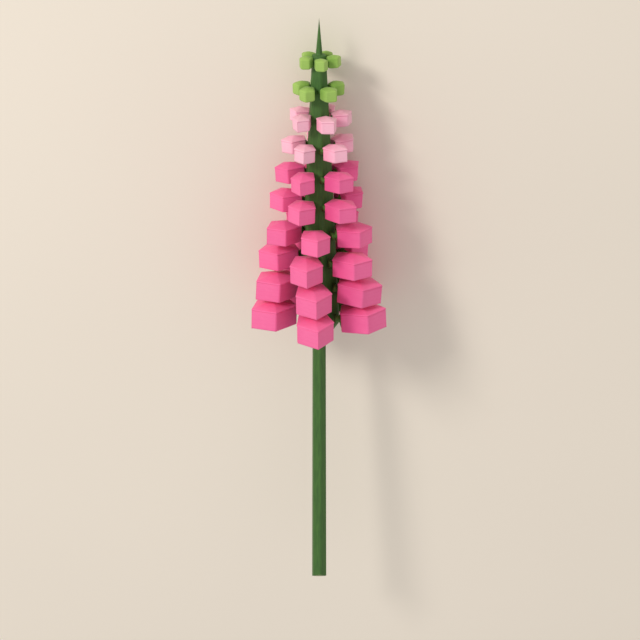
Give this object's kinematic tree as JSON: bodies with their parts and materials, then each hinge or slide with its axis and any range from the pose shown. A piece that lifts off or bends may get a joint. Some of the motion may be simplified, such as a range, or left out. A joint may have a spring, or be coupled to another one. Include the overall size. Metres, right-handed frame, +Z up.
{
  "type": "lupin flower spike",
  "caption": "Cut pink lupin spike lying down: faceted florets in whorls on a green axis, buds and a pointed tip at the top, and a bare stalk with a slanted cut.",
  "frame": {"origin": "middle of the object's box, on the surface it lies on", "axes": "+Z up from the surface, +Y along the spike from the cut end to the tip, +X across it"},
  "size_m": [0.0866, 0.3936, 0.0826],
  "materials": {
    "stem_green": "matte",
    "bud_green": "matte",
    "pale_pink": "matte",
    "pink": "matte"
  },
  "bodies": {
    "root": {"stem": "stem_green", "bud_whorl_1": "bud_green", "bud_whorl_2": "bud_green", "pale_whorl_1": "pale_pink", "pale_whorl_2": "pale_pink", "pink_whorl_1": "pink", "pink_whorl_2": "pink", "pink_whorl_3": "pink", "pink_whorl_4": "pink", "pink_whorl_5": "pink", "pink_whorl_6": "pink"}
  },
  "joints": []
}
